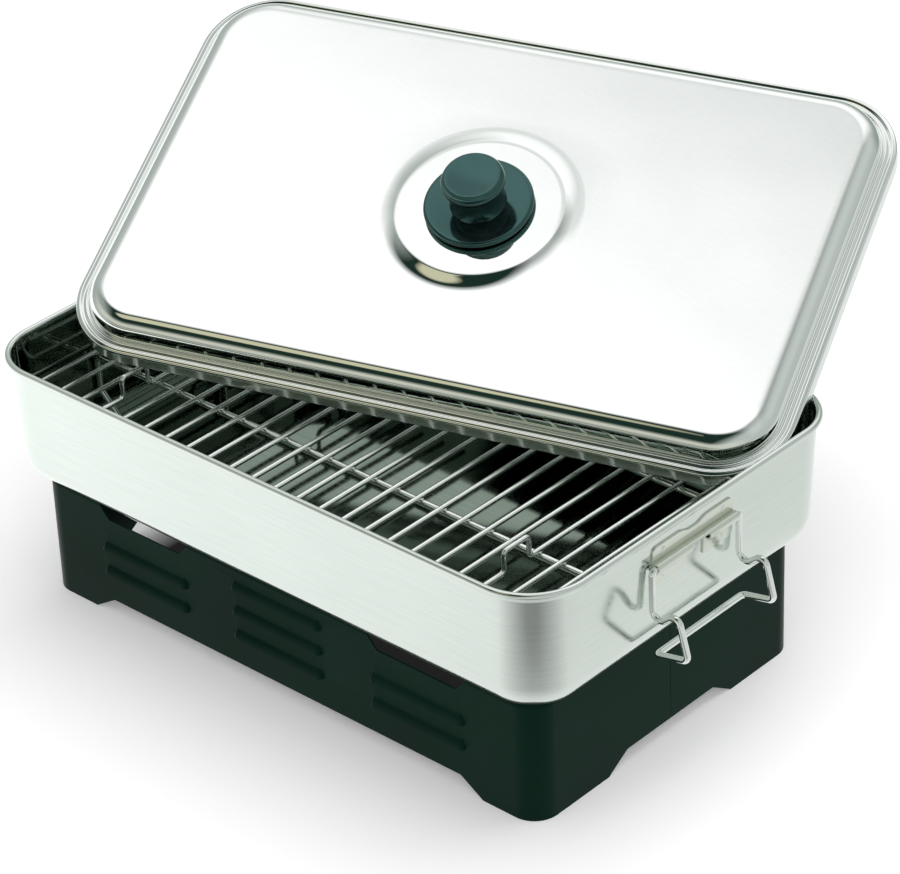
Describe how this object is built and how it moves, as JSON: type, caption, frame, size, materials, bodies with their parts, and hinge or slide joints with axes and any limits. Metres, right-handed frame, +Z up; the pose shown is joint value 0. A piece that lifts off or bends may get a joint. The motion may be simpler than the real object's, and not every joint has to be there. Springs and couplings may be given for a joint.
{
  "type": "stovetop smoker box",
  "caption": "Table smoker: lidded steel roasting pan with a wire rack and folding wire handles, on a vented sheet stand over spirit burners.",
  "frame": {"origin": "on the table, under the middle of the stand", "axes": "+X along the long sides to the right handle, +Y to the rear, +Z up"},
  "size_m": [0.5003, 0.4173, 0.2653],
  "materials": {
    "stand_green": "semi-matt baked enamel",
    "pan_steel": "satin outside, polished inside",
    "rack_wire": "bright",
    "plate_steel": "satin",
    "handle_wire": "bright",
    "lid_steel": "mirror polished",
    "spacer_steel": "satin",
    "knob_black": "glossy",
    "insert_brass": "turned",
    "screw_steel": "bright zinc",
    "burner_steel": "drawn",
    "wick_wool": "wadding",
    "gauze_steel": "woven"
  },
  "bodies": {
    "stand": {"stand_front": "stand_green", "stand_rear": "stand_green", "burner_cup_left": "burner_steel", "burner_wick_left": "wick_wool", "burner_gauze_left": "gauze_steel", "burner_ring_left": "burner_steel", "burner_cup_right": "burner_steel", "burner_wick_right": "wick_wool", "burner_gauze_right": "gauze_steel", "burner_ring_right": "burner_steel"},
    "pan": {"pan": "pan_steel", "handle_plate_left": "plate_steel", "handle_plate_right": "plate_steel"},
    "rack": {"rack_bars": "rack_wire", "rack_lift_bars": "rack_wire", "rack_runner_front": "rack_wire", "rack_runner_rear": "rack_wire"},
    "handle_left": {"handle_bail_left": "handle_wire"},
    "handle_right": {"handle_bail_right": "handle_wire"},
    "lid": {"lid": "lid_steel", "knob_spacer": "spacer_steel", "knob_collar": "knob_black", "knob": "knob_black", "knob_insert": "insert_brass", "knob_screw": "screw_steel", "screw_washer": "screw_steel"}
  },
  "joints": [
    {"name": "pan_lift", "type": "slide", "parent": "stand", "child": "pan", "axis": [0, 0, 1], "range_m": [0, 0.12]},
    {"name": "handle_left_swing", "type": "hinge", "parent": "pan", "child": "handle_left", "pos_m": [-0.209, 0, 0.1342], "axis": [0, 1, 0], "range_deg": [0, 100]},
    {"name": "handle_right_swing", "type": "hinge", "parent": "pan", "child": "handle_right", "pos_m": [0.209, 0, 0.1342], "axis": [0, -1, 0], "range_deg": [0, 100]},
    {"name": "lid_lift", "type": "slide", "parent": "pan", "child": "lid", "axis": [0, 0, 1], "range_m": [0, 0.2]},
    {"name": "rack_lift", "type": "slide", "parent": "pan", "child": "rack", "axis": [0, 0, 1], "range_m": [0, 0.08]}
  ],
  "couplings": [
    {"joint": "rack_lift", "follows": "lid_lift", "ratio": 0.4}
  ]
}
